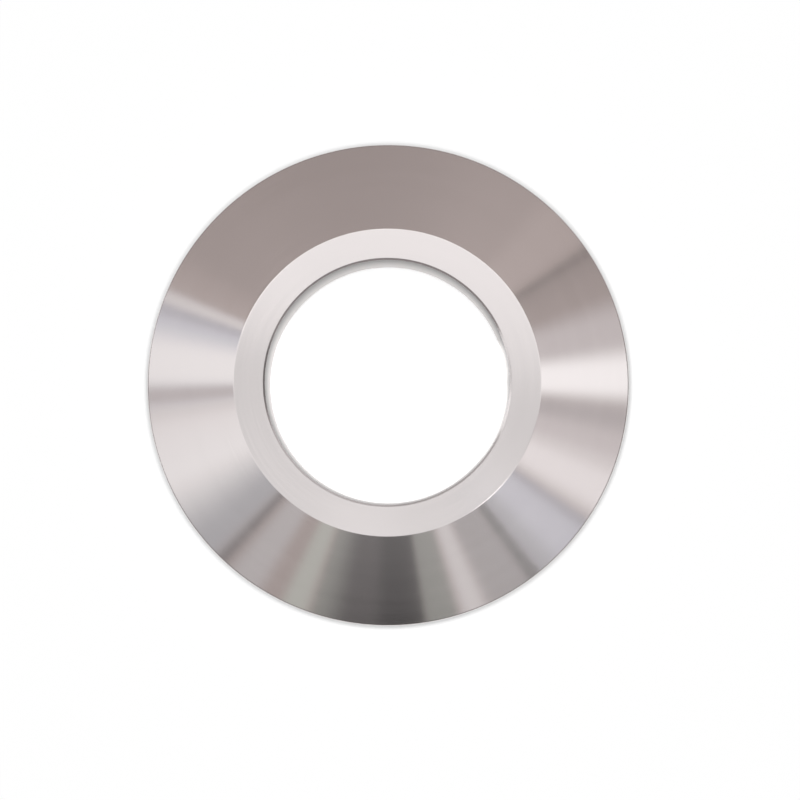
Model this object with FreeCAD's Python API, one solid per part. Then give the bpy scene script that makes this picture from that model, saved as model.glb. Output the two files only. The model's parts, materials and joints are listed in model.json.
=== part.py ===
"""Sanitary clamp end cap with a central tube hole, turned from one piece of stainless bar.

The cap is a flange disc. Its underside is the flat sealing face, with a rounded groove that takes the
bead of a gasket. Its back rises from a thin cylindrical rim as a 20 degree cone, which the clamp rides
on, up to a narrow flat land around the hole.

Frame: the origin is on the hole's axis in the plane of the sealing face. +Z points along the axis, out
of the coned back. All sizes are in millimetres and degrees.
"""

import FreeCAD
import Part
import math
import os

# Driving dimensions
FLANGE_DIAMETER = 50.5
RIM_THICKNESS = 2.85        # from the sealing face to the foot of the cone
BEVEL_ANGLE = 20.0          # the cone's slope from the sealing face
HOLE_DIAMETER = 25.1        # lets a 25 mm tube through with a little clearance
LAND_WIDTH = 3.2            # the flat ring between the hole and the cone

# Gasket groove: an arc sunk into the sealing face
GROOVE_ARC_RADIUS = 2.35
GROOVE_DEPTH = 1.6
GROOVE_TO_RIM = 1.22        # the flat ring of the sealing face that is left outside the groove

# Corners, as the turning tool and the polish leave them
RIM_ROUNDING = 0.3          # both edges of the rim
LAND_ROUNDING = 0.4         # where the land turns down into the cone
GROOVE_ROUNDING = 0.15      # both lips of the groove
HOLE_CHAMFER = 0.2          # both mouths of the hole, cut at 45 degrees


def point(radius, height):
    """A point of the section, which is drawn in the XZ plane to the right of the axis."""
    return FreeCAD.Vector(radius, 0, height)


ORIGIN = point(0, 0)
TURNING_AXIS = FreeCAD.Vector(0, 0, 1)
WHOLE_TURN = 360
SECTION_PLANE = Part.Plane(ORIGIN, FreeCAD.Vector(0, 1, 0))


def line(start, end):
    return Part.LineSegment(start, end).toShape()


def arc(start, through, end):
    return Part.Arc(start, through, end).toShape()


def rounding(before, after, radius):
    """The arc of this radius that joins two edges at their corner, and the two edges cut back to it."""
    corner = Part.ChFi2d.AnaFilletAlgo(before, after, SECTION_PLANE)
    corner.perform(radius)
    return corner.result()


def chamfer(before, after, size):
    """The line that cuts this much off two lines at their corner, and the two lines cut back to it."""
    corner = Part.ChFi2d.ChamferAPI(before, after)
    corner.perform()
    return corner.result(size, size)


def sharp_section():
    """The section with sharp corners, as a run of edges from the foot of the hole out round the rim and
    back. Each edge comes with the finish of the corner at its end, and that finish's size."""
    rim = FLANGE_DIAMETER / 2
    hole = HOLE_DIAMETER / 2
    land = hole + LAND_WIDTH
    top = RIM_THICKNESS + (rim - land) * math.tan(math.radians(BEVEL_ANGLE))

    half_groove = math.sqrt(GROOVE_ARC_RADIUS**2 - (GROOVE_ARC_RADIUS - GROOVE_DEPTH)**2)
    groove = rim - GROOVE_TO_RIM - half_groove
    inner_lip = point(groove - half_groove, 0)
    groove_floor = point(groove, GROOVE_DEPTH)
    outer_lip = point(groove + half_groove, 0)

    return [
        (line(point(hole, 0), inner_lip), rounding, GROOVE_ROUNDING),
        (arc(inner_lip, groove_floor, outer_lip), rounding, GROOVE_ROUNDING),
        (line(outer_lip, point(rim, 0)), rounding, RIM_ROUNDING),
        (line(point(rim, 0), point(rim, RIM_THICKNESS)), rounding, RIM_ROUNDING),
        (line(point(rim, RIM_THICKNESS), point(land, top)), rounding, LAND_ROUNDING),
        (line(point(land, top), point(hole, top)), chamfer, HOLE_CHAMFER),
        (line(point(hole, top), point(hole, 0)), chamfer, HOLE_CHAMFER),
    ]


def finished_section():
    """The section as a face, with every corner rounded or chamfered."""
    edges, finishes, sizes = map(list, zip(*sharp_section()))
    corners = []
    for i, (finish, size) in enumerate(zip(finishes, sizes)):
        following = (i + 1) % len(edges)
        corner, edges[i], edges[following] = finish(edges[i], edges[following], size)
        corners.append(corner)
    outline = [edge for pair in zip(edges, corners) for edge in pair]
    return Part.Face(Part.Wire(outline))


def end_cap():
    """The whole cap: the finished section turned once about the hole's axis."""
    return finished_section().revolve(ORIGIN, TURNING_AXIS, WHOLE_TURN)


def main():
    os.makedirs("parts", exist_ok=True)
    cap = end_cap()
    cap.exportStep("parts/end_cap.step")
    box = cap.optimalBoundingBox()
    print(f"end_cap: {box.XLength:.2f} x {box.YLength:.2f} x {box.ZLength:.3f} mm, {cap.Volume:.1f} mm3")


main()
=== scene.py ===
import json
import math

import bpy
import numpy as np
from mathutils import Matrix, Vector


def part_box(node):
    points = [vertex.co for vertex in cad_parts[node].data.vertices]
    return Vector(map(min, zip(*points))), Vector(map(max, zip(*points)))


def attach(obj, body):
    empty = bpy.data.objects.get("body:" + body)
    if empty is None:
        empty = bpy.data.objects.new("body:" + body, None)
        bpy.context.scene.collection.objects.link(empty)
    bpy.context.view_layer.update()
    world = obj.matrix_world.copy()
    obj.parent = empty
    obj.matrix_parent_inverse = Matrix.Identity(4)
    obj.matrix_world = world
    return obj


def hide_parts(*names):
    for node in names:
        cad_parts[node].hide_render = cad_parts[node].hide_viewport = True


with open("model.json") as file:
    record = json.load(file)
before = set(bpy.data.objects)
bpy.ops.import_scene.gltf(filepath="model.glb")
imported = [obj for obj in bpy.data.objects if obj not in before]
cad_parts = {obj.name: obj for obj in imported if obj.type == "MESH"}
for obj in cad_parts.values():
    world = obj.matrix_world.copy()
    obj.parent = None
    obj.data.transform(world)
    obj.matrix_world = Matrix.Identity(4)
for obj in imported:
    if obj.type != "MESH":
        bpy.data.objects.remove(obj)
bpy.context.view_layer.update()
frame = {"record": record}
mounts = {mount["name"]: mount for mount in frame["record"]["mounts"]}
steel = frame["record"]["materials"][0]
metrePerMm = 0.001
print("frame loaded, with the mounts", ", ".join(mounts))


# Adds one shader node. Inputs go by name or number, and take a value or another node's output
def addNode(tree, kind, inputs=(), **settings):
    made = tree.nodes.new("ShaderNode" + kind)
    for name, value in settings.items():
        setattr(made, name, value)
    for name, value in dict(inputs).items():
        if isinstance(value, bpy.types.NodeSocket):
            tree.links.new(value, made.inputs[name])
        else:
            made.inputs[name].default_value = value
    return made


# The result of an operation on numbers
def calculate(tree, operation, *numbers):
    return addNode(tree, "Math", dict(enumerate(numbers)), operation=operation).outputs[0]


# The same on vectors. It gives the outputs, of which Vector holds the result, or Value where
# that is a length
def calculateVector(tree, operation, *vectors):
    return addNode(tree, "VectorMath", dict(enumerate(vectors)), operation=operation).outputs


# Takes a value from the range start to end over to the range first to last, and holds it at
# their ends
def mapRange(tree, value, start, end, first=0.0, last=1.0, **settings):
    ranges = {"From Min": start, "From Max": end, "To Min": first, "To Max": last}
    return addNode(tree, "MapRange", {"Value": value, **ranges}, **settings).outputs[0]


# 0 before one value and full past another, smooth between them
def fade(tree, value, start, end, full=1.0):
    return mapRange(tree, value, start, end, 0.0, full, interpolation_type="SMOOTHSTEP")


# The azimuth in degrees of a place or direction, from its parts: atan2(y, x)
def azimuthOf(tree, part):
    return calculate(tree, "DEGREES", calculate(tree, "ARCTAN2", part["Y"], part["X"]))


# Full over the azimuths within a half width of a centre, and soft at both edges
def sector(tree, azimuth, centre, halfWidth, softness, full=1.0):
    offset = calculate(tree, "SUBTRACT", azimuth, centre)
    wrapped = calculate(tree, "WRAP", offset, 180.0, -180.0)
    distance = calculate(tree, "ABSOLUTE", wrapped)
    return fade(tree, distance, halfWidth + softness, halfWidth - softness, full)


# One colour over another, which it covers by a share
def over(tree, lower, upper, cover):
    colours = {"Factor": cover, "A": lower, "B": upper}
    return addNode(tree, "Mix", colours, data_type="RGBA").outputs["Result"]


# A material with an empty tree and its output node
def emptyMaterial(name):
    material = bpy.data.materials.new(name)
    material.use_nodes = True
    material.node_tree.nodes.clear()
    return material, material.node_tree, addNode(material.node_tree, "OutputMaterial")


# A grid of rows by columns points as a mesh of quads. Either way round can be closed on itself.
# The point in row i and column j has the number i * columns + j
def gridMesh(name, points, closeRows, closeColumns):
    rows, columns = points.shape[:2]
    i = np.arange(rows if closeRows else rows - 1)[:, None]
    j = np.arange(columns if closeColumns else columns - 1)[None, :]
    row, nextRow, nextColumn = i * columns, (i + 1) % rows * columns, (j + 1) % columns
    corners = np.stack([row + j, row + nextColumn, nextRow + nextColumn, nextRow + j], axis=-1)
    mesh = bpy.data.meshes.new(name)
    mesh.from_pydata(points.reshape(-1, 3), [], corners.reshape(-1, 4))
    mesh.shade_smooth()
    return mesh


# Puts a mesh, lamp or camera into the scene as an object
def addObject(name, data):
    made = bpy.data.objects.new(name, data)
    bpy.context.scene.collection.objects.link(made)
    return made


# The turned cap, in millimetres and degrees
cap = {
    "flangeRadius": mounts["flange_rim"]["dims"]["r_mm"],
    "holeRadius": mounts["tube_hole"]["dims"]["r_mm"],
    "height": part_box("end_cap")[1].z / metrePerMm,
    "coneSlope": 20.0,
    "landWidth": 3.2,
    "grooveArc": 2.35,
    "grooveDepth": 1.6,
    "grooveToRim": 1.22,
    "grooveLip": 0.15,       # rounding
    "rimRounding": 0.3,
    "landRounding": 0.4,
    "holeChamfer": 0.2,
    "chamferEdge": 0.03,     # rounding of the chamfers' own edges
    "columns": 720,          # round the axis
}


# The length that a round corner takes from the straight cut on each side of it:
# radius * tan(half the turn)
def cornerReach(radius, turn):
    return radius * math.tan(math.radians(turn) / 2)


# The section as steps with the metal on the left, from the hole's foot out over the sealing
# face, up the rim, in over the cone and the land, and down the hole. Each step: finish, length
# or radius, turn in degrees, rows of points
def sectionSteps(cap):
    rightAngle, chamferAngle, slope = 90, 45, cap["coneSlope"]
    chamferReach = cornerReach(cap["chamferEdge"], chamferAngle)
    chamferLength = cap["holeChamfer"] * math.sqrt(2) - 2 * chamferReach
    landRadius = cap["holeRadius"] + cap["landWidth"]
    coneRun = cap["flangeRadius"] - landRadius
    coneLength = coneRun / math.cos(math.radians(slope))
    rimHeight = cap["height"] - coneRun * math.tan(math.radians(slope))

    # The groove's arc has its centre below the face. A lip's arc touches the face and that arc
    grooveArc, lip = cap["grooveArc"], cap["grooveLip"]
    centreBelow = grooveArc - cap["grooveDepth"]
    halfGroove = math.sqrt(grooveArc**2 - centreBelow**2)
    lipTurn = math.degrees(math.acos((lip + centreBelow) / (lip + grooveArc)))
    lipFromMiddle = (lip + grooveArc) * math.sin(math.radians(lipTurn))
    grooveMiddle = cap["flangeRadius"] - cap["grooveToRim"] - halfGroove

    start = cap["holeRadius"] + cap["holeChamfer"] + chamferReach
    rimReach = cornerReach(cap["rimRounding"], rightAngle)
    rimTopReach = cornerReach(cap["rimRounding"], rightAngle - slope)
    landReach = cornerReach(cap["landRounding"], slope)
    chamferEdge = ("edge", cap["chamferEdge"], chamferAngle, 3)
    chamfer = ("edge", chamferLength, 0, 2)
    return start, [
        ("sealingFace", grooveMiddle - lipFromMiddle - start, 0, 8),
        ("groove", lip, lipTurn, 5),
        ("groove", grooveArc, -2 * lipTurn, 20),
        ("groove", lip, lipTurn, 5),
        ("sealingFace", cap["flangeRadius"] - rimReach - grooveMiddle - lipFromMiddle, 0, 3),
        ("rim", cap["rimRounding"], rightAngle, 9),
        ("rim", rimHeight - rimReach - rimTopReach, 0, 4),
        ("rim", cap["rimRounding"], rightAngle - slope, 9),
        ("cone", coneLength - rimTopReach - landReach, 0, 12),
        ("land", cap["landRounding"], slope, 8),
        ("land", cap["landWidth"] - landReach - cap["holeChamfer"] - chamferReach, 0, 6),
        chamferEdge,
        chamfer,
        chamferEdge,
        ("holeWall", cap["height"] - 2 * cap["holeChamfer"] - 2 * chamferReach, 0, 6),
        chamferEdge,
        chamfer,
        chamferEdge,
    ]


# Walks the steps. On a straight cut a point is place + distance * (cos h, sin h) for the heading
# h, and on a round corner it is centre + radius * (sin h, -cos h). The outward normal is
# (sin h, -cos h) on both. Gives, for each row, radius and height, the outward normal, the
# distance walked and the finish's name, and then the whole distance
def walkSection(start, steps):
    place, heading, walked = np.array([start, 0.0]), 0.0, 0.0
    points, normals, distances, names = [], [], [], []
    for finish, size, turn, rows in steps:
        share = np.arange(rows + 1)[:, None] / rows
        turned = math.radians(turn)
        h = heading + turned * share
        outward = np.hstack([np.sin(h), -np.cos(h)])
        if turn:
            radius = math.copysign(size, turn)
            length = size * abs(turned)
            run = place + radius * (outward - outward[0])
        else:
            length = size
            run = place + length * share * np.array([math.cos(heading), math.sin(heading)])
        points.append(run[:-1])
        normals.append(outward[:-1])
        distances.append(walked + length * share[:-1, 0])
        names += [finish] * rows
        place, heading, walked = run[-1], heading + turned, walked + length
    return np.vstack(points), np.vstack(normals), np.concatenate(distances), names, walked


# How each cut is finished. The highlight is drawn out down the slope, across the marks of the
# tool, whose pitch and depth are in mm. The tone is the share of the steel's colour that is
# left at the height of the sealing face and at that of the land. On the hole's wall it falls
# to a fifth towards the mouth, which is painted shade
finishes = {
    "sealingFace": {"roughness": 0.19, "drawnOut": 0.85, "pitch": 0.10, "depth": 0.0003},
    "groove": {"roughness": 0.24, "drawnOut": 0.80, "pitch": 0.09, "depth": 0.0004,
               "tone": (0.97, 0.97)},
    "rim": {"roughness": 0.17, "drawnOut": 0.70, "pitch": 0.08, "depth": 0.0002},
    "cone": {"roughness": 0.14, "drawnOut": 0.90, "pitch": 0.11, "depth": 0.0002},
    "land": {"roughness": 0.17, "drawnOut": 0.90, "pitch": 0.12, "depth": 0.0002},
    "edge": {"roughness": 0.18, "drawnOut": 0.40, "pitch": 0.05, "depth": 0.0001},
    # painted shade: the hole's wall darkens from its foot towards its mouth
    "holeWall": {"roughness": 0.36, "drawnOut": 0.80, "pitch": 0.14, "depth": 0.0005,
                 "tone": (1, 0.2)},
}
wholeTone = (1, 1)              # where a finish gives none
marks = {
    "roughnessSpread": 0.03,    # how much the roughness changes from mark to mark
    "darkest": 0.96,            # the share of the steel's colour left in the deepest marks
    "changes": 0.9,             # how often a mark changes on its way round
    "detail": 2.0,              # of the noise
    "bandPitch": 1.3,           # mm, of the slow bands left by the feed and the polish
    "bandDetail": 1.0,
    "usual": (0.6, 1.4),        # the two sums between which both noises together usually lie
}


# Turned steel. The tool marks are noise stretched into rings: its place is the distance along
# the section over the pitch of the marks, upwards, and the direction round the axis, which
# changes it slowly along each ring
def turnedSteel(name, finish, sectionLength):
    material, tree, output = emptyMaterial(name)
    turning = addNode(tree, "UVMap", uv_map="turning")
    across = addNode(tree, "SeparateXYZ", {0: turning.outputs[0]}).outputs["X"]
    place = addNode(tree, "TexCoord").outputs["Object"]
    sideways = calculateVector(tree, "MULTIPLY", place, (1, 1, 0))["Vector"]
    roundAxis = calculateVector(tree, "NORMALIZE", sideways)["Vector"]

    def rings(pitch, detail):
        along = calculate(tree, "MULTIPLY", across, sectionLength / pitch)
        upwards = addNode(tree, "CombineXYZ", {"Z": along}).outputs[0]
        changes = (marks["changes"],) * 3
        spot = calculateVector(tree, "MULTIPLY_ADD", roundAxis, changes, upwards)["Vector"]
        noise = addNode(tree, "TexNoise", {"Vector": spot, "Scale": 1.0, "Detail": detail})
        return noise.outputs["Fac"]

    fineRings = rings(finish["pitch"], marks["detail"])
    both = calculate(tree, "ADD", fineRings, rings(marks["bandPitch"], marks["bandDetail"]))
    least = finish["roughness"] - marks["roughnessSpread"] / 2
    most = finish["roughness"] + marks["roughnessSpread"] / 2
    colour = np.array(steel["base_color"])
    deepColour = colour * marks["darkest"]
    brightness = mapRange(tree, both, *marks["usual"])
    marked = over(tree, (*deepColour, 1), (*colour, 1), brightness)
    height = addNode(tree, "SeparateXYZ", {0: place}).outputs["Z"]
    # the tone scales the colour by height; on the hole's wall this paints shade
    tone = mapRange(tree, height, 0, cap["height"] * metrePerMm, *finish.get("tone", wholeTone))
    tonedAndShaded = addNode(tree, "VectorMath", {0: marked, "Scale": tone}, operation="SCALE")
    depth = finish["depth"] * metrePerMm
    bump = addNode(tree, "Bump", {"Height": fineRings, "Strength": 1.0, "Distance": depth})
    tangent = addNode(tree, "Tangent", direction_type="UV_MAP", uv_map="turning")
    shader = addNode(tree, "BsdfPrincipled", {
        "Base Color": tonedAndShaded.outputs[0],
        "Metallic": 1.0,
        "Roughness": mapRange(tree, both, *marks["usual"], least, most),
        "Anisotropic": finish["drawnOut"],
        "Tangent": tangent.outputs[0],
        "Normal": bump.outputs[0],
    })
    tree.links.new(shader.outputs[0], output.inputs["Surface"])
    return material


# The cap: the section turned once about Z. A point is (radius * cos a, radius * sin a, height)
def turnedCap(cap):
    radiusHeight, outward, distances, names, sectionLength = walkSection(*sectionSteps(cap))
    rows, columns = len(names), cap["columns"]
    angles = np.linspace(0, 2 * math.pi, columns, endpoint=False)
    swing = np.stack([np.cos(angles), np.sin(angles)], axis=-1)

    def turned(section):
        sideways = section[:, None, :1] * swing[None]
        upwards = np.repeat(section[:, None, 1:], columns, axis=1)
        return np.concatenate([sideways, upwards], axis=-1)

    mesh = gridMesh("dressedCap", turned(radiusHeight) * metrePerMm, True, True)
    # The map's first way runs along the section and its second round the axis, from 0 to 1
    along = np.append(distances, sectionLength) / sectionLength
    aroundAxis = np.arange(columns + 1) / columns
    i, j = np.meshgrid(np.arange(rows), np.arange(columns), indexing="ij")
    corners = [(i, j), (i, j + 1), (i + 1, j + 1), (i + 1, j)]
    unwrapped = np.stack([np.stack([along[a], aroundAxis[b]], axis=-1) for a, b in corners],
                         axis=2)
    turning = mesh.uv_layers.new(name="turning")
    turning.uv.foreach_set("vector", unwrapped.astype(np.float32).ravel())

    order = list(finishes)
    for name in order:
        mesh.materials.append(turnedSteel("steel_" + name, finishes[name], sectionLength))
    slots = np.repeat([order.index(name) for name in names], columns)
    mesh.polygons.foreach_set("material_index", slots.astype(np.int32))
    mesh.normals_split_custom_set_from_vertices(turned(outward).reshape(-1, 3))
    mesh.update()
    return addObject("turned_cap", mesh)


dressedCap = turnedCap(cap)
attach(dressedCap, "root")
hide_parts("end_cap")
print("cap turned:", len(dressedCap.data.polygons), "faces")


# The table that the cap lies on. The lamp lights its colour. A lift is added to that for the
# camera, metal and glass, so that the open table is white while the cap's shadow stays. It is
# one value under the hole, with more in the sectors of painted light: a painted pool of light
# that the hole's wall mirrors. Round the cap the lift starts at one radius and is full at the
# next, which paints a darker ring round the cap's foot as painted shadow. Far off it grows, so
# that the table's end melts into the white room. Radii are in mm. Each sector: azimuth, half
# width, softness, lift
table = {
    "halfWidth": 0.4,          # metres
    "colour": (0.90, 0.90, 0.90, 1),
    "underHole": {"lift": 0.48, "edge": 2.0},      # gone this far outside the hole
    # painted light: sectors of the table under the hole are lifted more, for the hole's wall to
    # mirror
    "backlit": [(250, 100, 15, 0.32), (-18, 18, 9, 0.90), (11.5, 7.5, 4, 1.0)],
    # painted shadow: no lift inside the first radius darkens a ring round the cap's foot
    "roundCap": {"lift": 0.20, "centre": (-0.05, 0.14), "radii": (25.75, 26.15)},
    "farOff": {"lift": 0.48, "centre": (0, 0), "radii": (40, 250)},
}


# 1 for what the camera, metal and glass see, and 0 for light that has met a matt surface, which
# would fill the cap's shadow. Such light has a diffuse depth of 1 or more
def seenDirectly(tree):
    path = addNode(tree, "LightPath").outputs
    first = calculate(tree, "MAXIMUM", path["Is Camera Ray"], path["Is Glossy Ray"])
    seen = calculate(tree, "MAXIMUM", first, path["Is Transmission Ray"])
    ungathered = calculate(tree, "LESS_THAN", path["Diffuse Depth"], 1.0)
    return calculate(tree, "MULTIPLY", seen, ungathered)


def whiteTable(table):
    material, tree, output = emptyMaterial("white_table")
    paint = addNode(tree, "BsdfDiffuse", {"Color": table["colour"]})
    place = addNode(tree, "TexCoord").outputs["Object"]
    azimuth = azimuthOf(tree, addNode(tree, "SeparateXYZ", {0: place}).outputs)
    atHole = table["underHole"]["lift"]
    for backlit in table["backlit"]:
        atHole = calculate(tree, "ADD", sector(tree, azimuth, *backlit), atHole)
    fromAxis = calculateVector(tree, "LENGTH", place)["Value"]
    hole = cap["holeRadius"] * metrePerMm
    edge = table["underHole"]["edge"] * metrePerMm
    most = mapRange(tree, fromAxis, hole, hole + edge, atHole, 0.0)
    # the ring round the cap paints its shadow; the far-off ring evens out the table's end
    for ring in (table["roundCap"], table["farOff"]):
        centre = [part * metrePerMm for part in (*ring["centre"], 0)]
        outside = calculateVector(tree, "DISTANCE", place, centre)["Value"]
        radii = [radius * metrePerMm for radius in ring["radii"]]
        lifted = mapRange(tree, outside, *radii, 0.0, ring["lift"])
        most = calculate(tree, "MAXIMUM", most, lifted)
    strength = calculate(tree, "MULTIPLY", seenDirectly(tree), most)
    lift = addNode(tree, "Emission", {"Strength": strength})
    surface = addNode(tree, "AddShader", {0: paint.outputs[0], 1: lift.outputs[0]})
    tree.links.new(surface.outputs[0], output.inputs["Surface"])
    material.cycles.emission_sampling = "NONE"

    ends = np.array([-table["halfWidth"], table["halfWidth"]])
    y, x = np.meshgrid(ends, ends, indexing="ij")
    points = np.stack([x, y, np.zeros_like(x)], axis=-1)
    mesh = gridMesh("whiteTable", points, False, False)
    mesh.materials.append(material)
    addObject("white_table", mesh)


whiteTable(table)
print("table laid")


# The tent of cards round the cap, which only its reflections show. Azimuths go from +X towards
# +Y, and slants from straight up, all in degrees. Two slants are where a layer starts and where
# it is full. Each card: azimuth, half width, softness of its edges, brightness, tint
tent = {
    "radius": 1.2,              # metres
    "rings": 40,                # of points, from the foot up
    "columns": 72,              # round the axis
    "top": 89.9,                # degrees up, where the half sphere ends in a pinhole
    "wall": (0.49, "warm"),
    # On the wall, each over those before it. The cone shows them as streaks
    "cards": {
        "backShade": (102, 18, 16, 0.46, "warm"),
        "rightShade": (37, 4, 4, 0.41, "warm"),
        "backGlow": (55, 16, 12, 0.53, "warm"),
        "paleCurtain": (45.8, 6.8, 3, 0.59, "warm"),
        "leftGlow": (155, 8, 5, 0.57, "warm"),
        "leftWall": (171, 12, 2, 0.81, "cool"),
        "leftWindow": (171.1, 6.7, 3.8, 1.18, "white"),
        "leftStrip": (155.8, 1.6, 0.9, 0.945, "soft"),
        "leftGap": (158.5, 1.1, 0.7, 0.62, "cool"),
        "blueCard": (212.7, 9.3, 3.2, 0.55, "pale"),
        "leftBox": (190, 8.5, 7, 1.04, "soft"),
        "leftBlind": (198.8, 9, 9.2, 1.13, "white"),
        "leftStand": (179.3, 2.1, 1.5, 0.66, "pink"),
        "darkStand": (223.2, 1.2, 1, 0.26, "pink"),
        "frontLeftCard": (230.7, 4.5, 2.2, 0.62, "soft"),
        "greenCard": (244.6, 3.2, 1.5, 0.595, "green"),
        "frontShade": (263.7, 14.7, 1.2, 0.295, "green"),
        "frontFlag": (265.8, 11.2, 4.5, 0.085, "pink"),
        "frontFlagEdge": (273, 5.5, 1.2, 0.045, "pink"),
        "frontFlagMiddle": (271, 4.5, 3, 0.025, "pink"),
        "greyCard": (282.9, 4.1, 0.8, 0.335, "green"),
        "frontRightCard": (301.8, 7, 2, 0.52, "soft"),
        "frontStrip": (291.3, 3.2, 2.1, 0.84, "soft"),
        "coolCard": (318.5, 8, 1.5, 0.745, "cool"),
        "coolShade": (312.5, 3, 3, 0.58, "pale"),
        "frontRightStand": (308.7, 1.6, 1, 0.28, "soft"),
        "rightDoor": (349, 7, 3, 0.795, "pink"),
        "rightBox": (336.4, 6.9, 4.5, 1.11, "soft"),
        "rightStand": (327, 1.2, 1.2, 0.57, "cool"),
        "rightCurtain": (14.8, 8.5, 4, 0.75, "pink"),
        "doorPost": (355, 3, 3, 0.61, "pink"),
        "rightWindow": (5.4, 5.8, 3.2, 1.33, "white"),
        "backStand": (37.1, 1.2, 1, 0.33, "warm"),
    },
    # Thin veils over the upper part of the wall, all round and over the front flags
    "haze": {"light": (1.0, "white"), "cover": 0.05, "slants": (51, 44)},
    "spill": {"card": (268, 19, 1.5, 1.0, "white"), "cover": 0.17, "slants": (46, 43.5)},
    # The land shows the ceiling. A panel starts and is full where lean * x + y of the direction
    # reaches its two values. Each panel: lean, those values, brightness, tint
    "ceiling": {
        "front": (0.98, "white"),
        "panels": [
            (0.09, -0.06, -0.01, 0.85, "white"),
            (0.13, 0.05, 0.08, 0.99, "white"),
            (0.13, 0.08, 0.12, 1.28, "white"),
        ],
        "slants": (4, 8),       # of its cards
        "cards": [(252, 19, 8, 1.20, "white"), (314, 10, 5, 0.80, "pale")],
    },
    # The rounding between land and cone shows the ceiling's rim as a bright line
    "ceilingRim": {
        "slants": (21, 24),
        "light": (1.3, "white"),
        "cards": [
            (92, 58, 10, 2.1, "white"), (142, 16, 8, 2.9, "white"), (250, 30, 12, 0.7, "white"),
            (315, 9, 3, 5.0, "white"), (343, 9, 4, 0.30, "pink"),
        ],
    },
    "wallTop": (27, 31),        # slants, where the wall starts under the ceiling and is full
    # The dark skirt of the wall outlines the flange at its rounding
    "skirt": {"slants": (57, 61), "light": (0.12, "pink")},
    # The chamfer at the hole's mouth shows the tent's foot
    "foot": {
        "slants": (76, 80),
        "light": (0.37, "pink"),
        "cards": [
            (0, 14, 6, 0.20, "pink"), (60, 38, 8, 0.80, "soft"), (123, 28, 8, 0.68, "soft"),
            (172, 22, 6, 1.0, "white"), (164, 9, 4, 1.5, "white"), (195, 6, 4, 1.25, "white"),
        ],
    },
}
tints = {
    "white": (1.0, 0.98, 0.99),
    "pale": (1.0, 1.0, 1.045),
    "soft": (1.0, 0.96, 0.97),
    "pink": (1.0, 0.93, 0.94),
    "warm": (1.0, 0.87, 0.84),
    "cool": (1.0, 1.0, 1.09),
    "green": (1.0, 1.02, 0.955),
}


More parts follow.
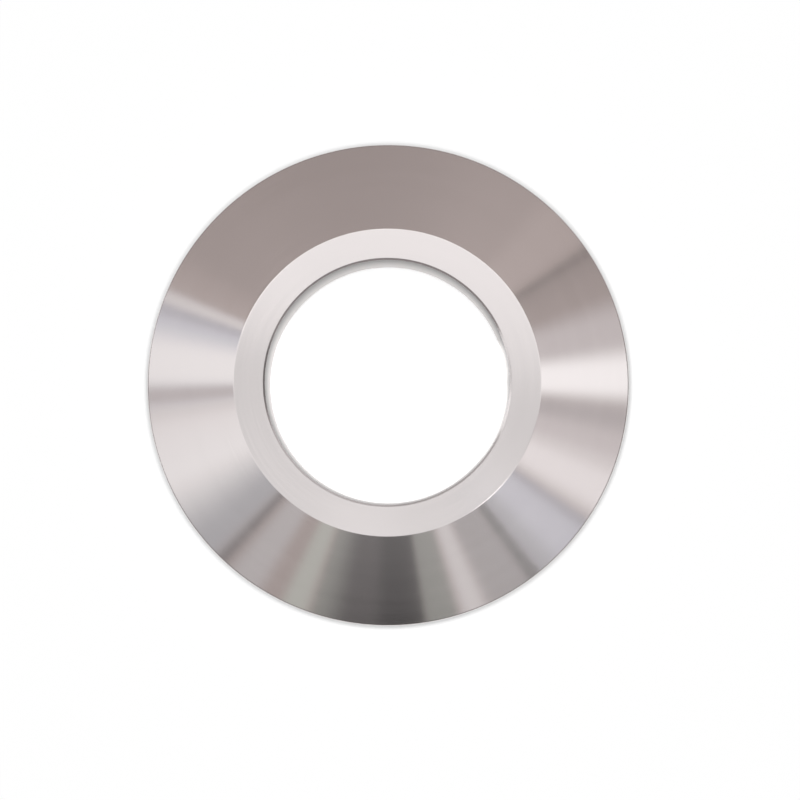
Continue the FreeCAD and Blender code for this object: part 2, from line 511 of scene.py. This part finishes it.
def tentOfCards(tent):
    material, tree, output = emptyMaterial("tent_of_cards")
    place = addNode(tree, "TexCoord").outputs["Object"]
    direction = calculateVector(tree, "NORMALIZE", place)["Vector"]
    part = addNode(tree, "SeparateXYZ", {0: direction}).outputs
    azimuth = azimuthOf(tree, part)
    slant = calculate(tree, "DEGREES", calculate(tree, "ARCCOSINE", part["Z"]))

    def shade(brightness, tint):
        return tuple(brightness * share for share in tints[tint]) + (1,)

    def hang(colour, centre, halfWidth, softness, brightness, tint, full=1.0):
        cover = sector(tree, azimuth, centre, halfWidth, softness, full)
        return over(tree, colour, shade(brightness, tint), cover)

    def hangAll(light, cards, full=1.0):
        for card in cards:
            light = hang(light, *card, full)
        return light

    def layer(lower, upper, slants, cover=1.0):
        return over(tree, lower, upper, fade(tree, slant, *slants, cover))

    walls = hangAll(shade(*tent["wall"]), tent["cards"].values())
    haze, spill = tent["haze"], tent["spill"]
    walls = layer(walls, shade(*haze["light"]), haze["slants"], haze["cover"])
    walls = hang(walls, *spill["card"], fade(tree, slant, *spill["slants"], spill["cover"]))

    ceiling = shade(*tent["ceiling"]["front"])
    for lean, start, end, brightness, tint in tent["ceiling"]["panels"]:
        across = calculate(tree, "MULTIPLY_ADD", part["X"], lean, part["Y"])
        ceiling = over(tree, ceiling, shade(brightness, tint), fade(tree, across, start, end))
    lowOnCeiling = fade(tree, slant, *tent["ceiling"]["slants"])
    ceiling = hangAll(ceiling, tent["ceiling"]["cards"], lowOnCeiling)

    rim, skirt, foot = tent["ceilingRim"], tent["skirt"], tent["foot"]
    ceiling = layer(ceiling, hangAll(shade(*rim["light"]), rim["cards"]), rim["slants"])
    whole = layer(ceiling, walls, tent["wallTop"])
    whole = layer(whole, shade(*skirt["light"]), skirt["slants"])
    whole = layer(whole, hangAll(shade(*foot["light"]), foot["cards"]), foot["slants"])
    light = addNode(tree, "Emission", {"Color": whole, "Strength": seenDirectly(tree)})
    tree.links.new(light.outputs[0], output.inputs["Surface"])
    material.cycles.emission_sampling = "NONE"

    # A half sphere: radius * (cos h * cos a, cos h * sin a, sin h)
    heights = np.radians(np.linspace(0, tent["top"], tent["rings"]))
    angles = np.radians(np.linspace(0, 360, tent["columns"], endpoint=False))
    h, a = np.meshgrid(heights, angles, indexing="ij")
    sphere = np.stack([np.cos(h) * np.cos(a), np.cos(h) * np.sin(a), np.sin(h)], axis=-1)
    mesh = gridMesh("tentOfCards", tent["radius"] * sphere, False, True)
    mesh.materials.append(material)
    made = addObject("tent_of_cards", mesh)
    made.visible_camera = made.visible_diffuse = made.visible_transmission = False
    made.visible_shadow = made.visible_volume_scatter = False


tentOfCards(tent)
print("tent of cards hung:", len(tent["cards"]), "cards")


# One wide soft lamp over the table, in metres and watts, and a white room behind
studio = {"lampWidth": 0.8, "lampHeight": 1.5, "lampPower": 21.6}


def lightStudio(studio):
    world = bpy.data.worlds.new("studio")
    bpy.context.scene.world = world
    world.use_nodes = True
    tree = world.node_tree
    tree.nodes.clear()
    room = addNode(tree, "Background", {"Color": (1, 1, 1, 1), "Strength": seenDirectly(tree)})
    output = addNode(tree, "OutputWorld")
    tree.links.new(room.outputs[0], output.inputs["Surface"])

    lamp = bpy.data.lights.new("soft_lamp", "AREA")
    lamp.size = studio["lampWidth"]
    lamp.energy = studio["lampPower"]
    made = addObject("soft_lamp", lamp)
    made.location = (0, 0, studio["lampHeight"])
    made.visible_glossy = False


lightStudio(studio)
print("studio lit")


# The camera stands over the cap, a little in front of the axis. It looks down, leaning by two
# small angles in degrees. The lens is in mm. The place, and the nearest that the camera sees,
# are in metres
view = {"lens": 66.0, "place": (0.00259, -0.00772, 0.15614), "leanX": 2.244, "leanY": 0.491,
        "nearest": 0.01}


def placeCamera(view):
    camera = bpy.data.cameras.new("camera")
    camera.lens = view["lens"]
    camera.clip_start = view["nearest"]
    made = addObject("camera", camera)
    leanX = Matrix.Rotation(math.radians(view["leanX"]), 4, "X")
    leanY = Matrix.Rotation(math.radians(view["leanY"]), 4, "Y")
    made.matrix_world = Matrix.Translation(view["place"]) @ (leanX @ leanY)
    bpy.context.scene.camera = made


placeCamera(view)
bpy.context.scene.view_settings.view_transform = "Standard"
print("camera placed")
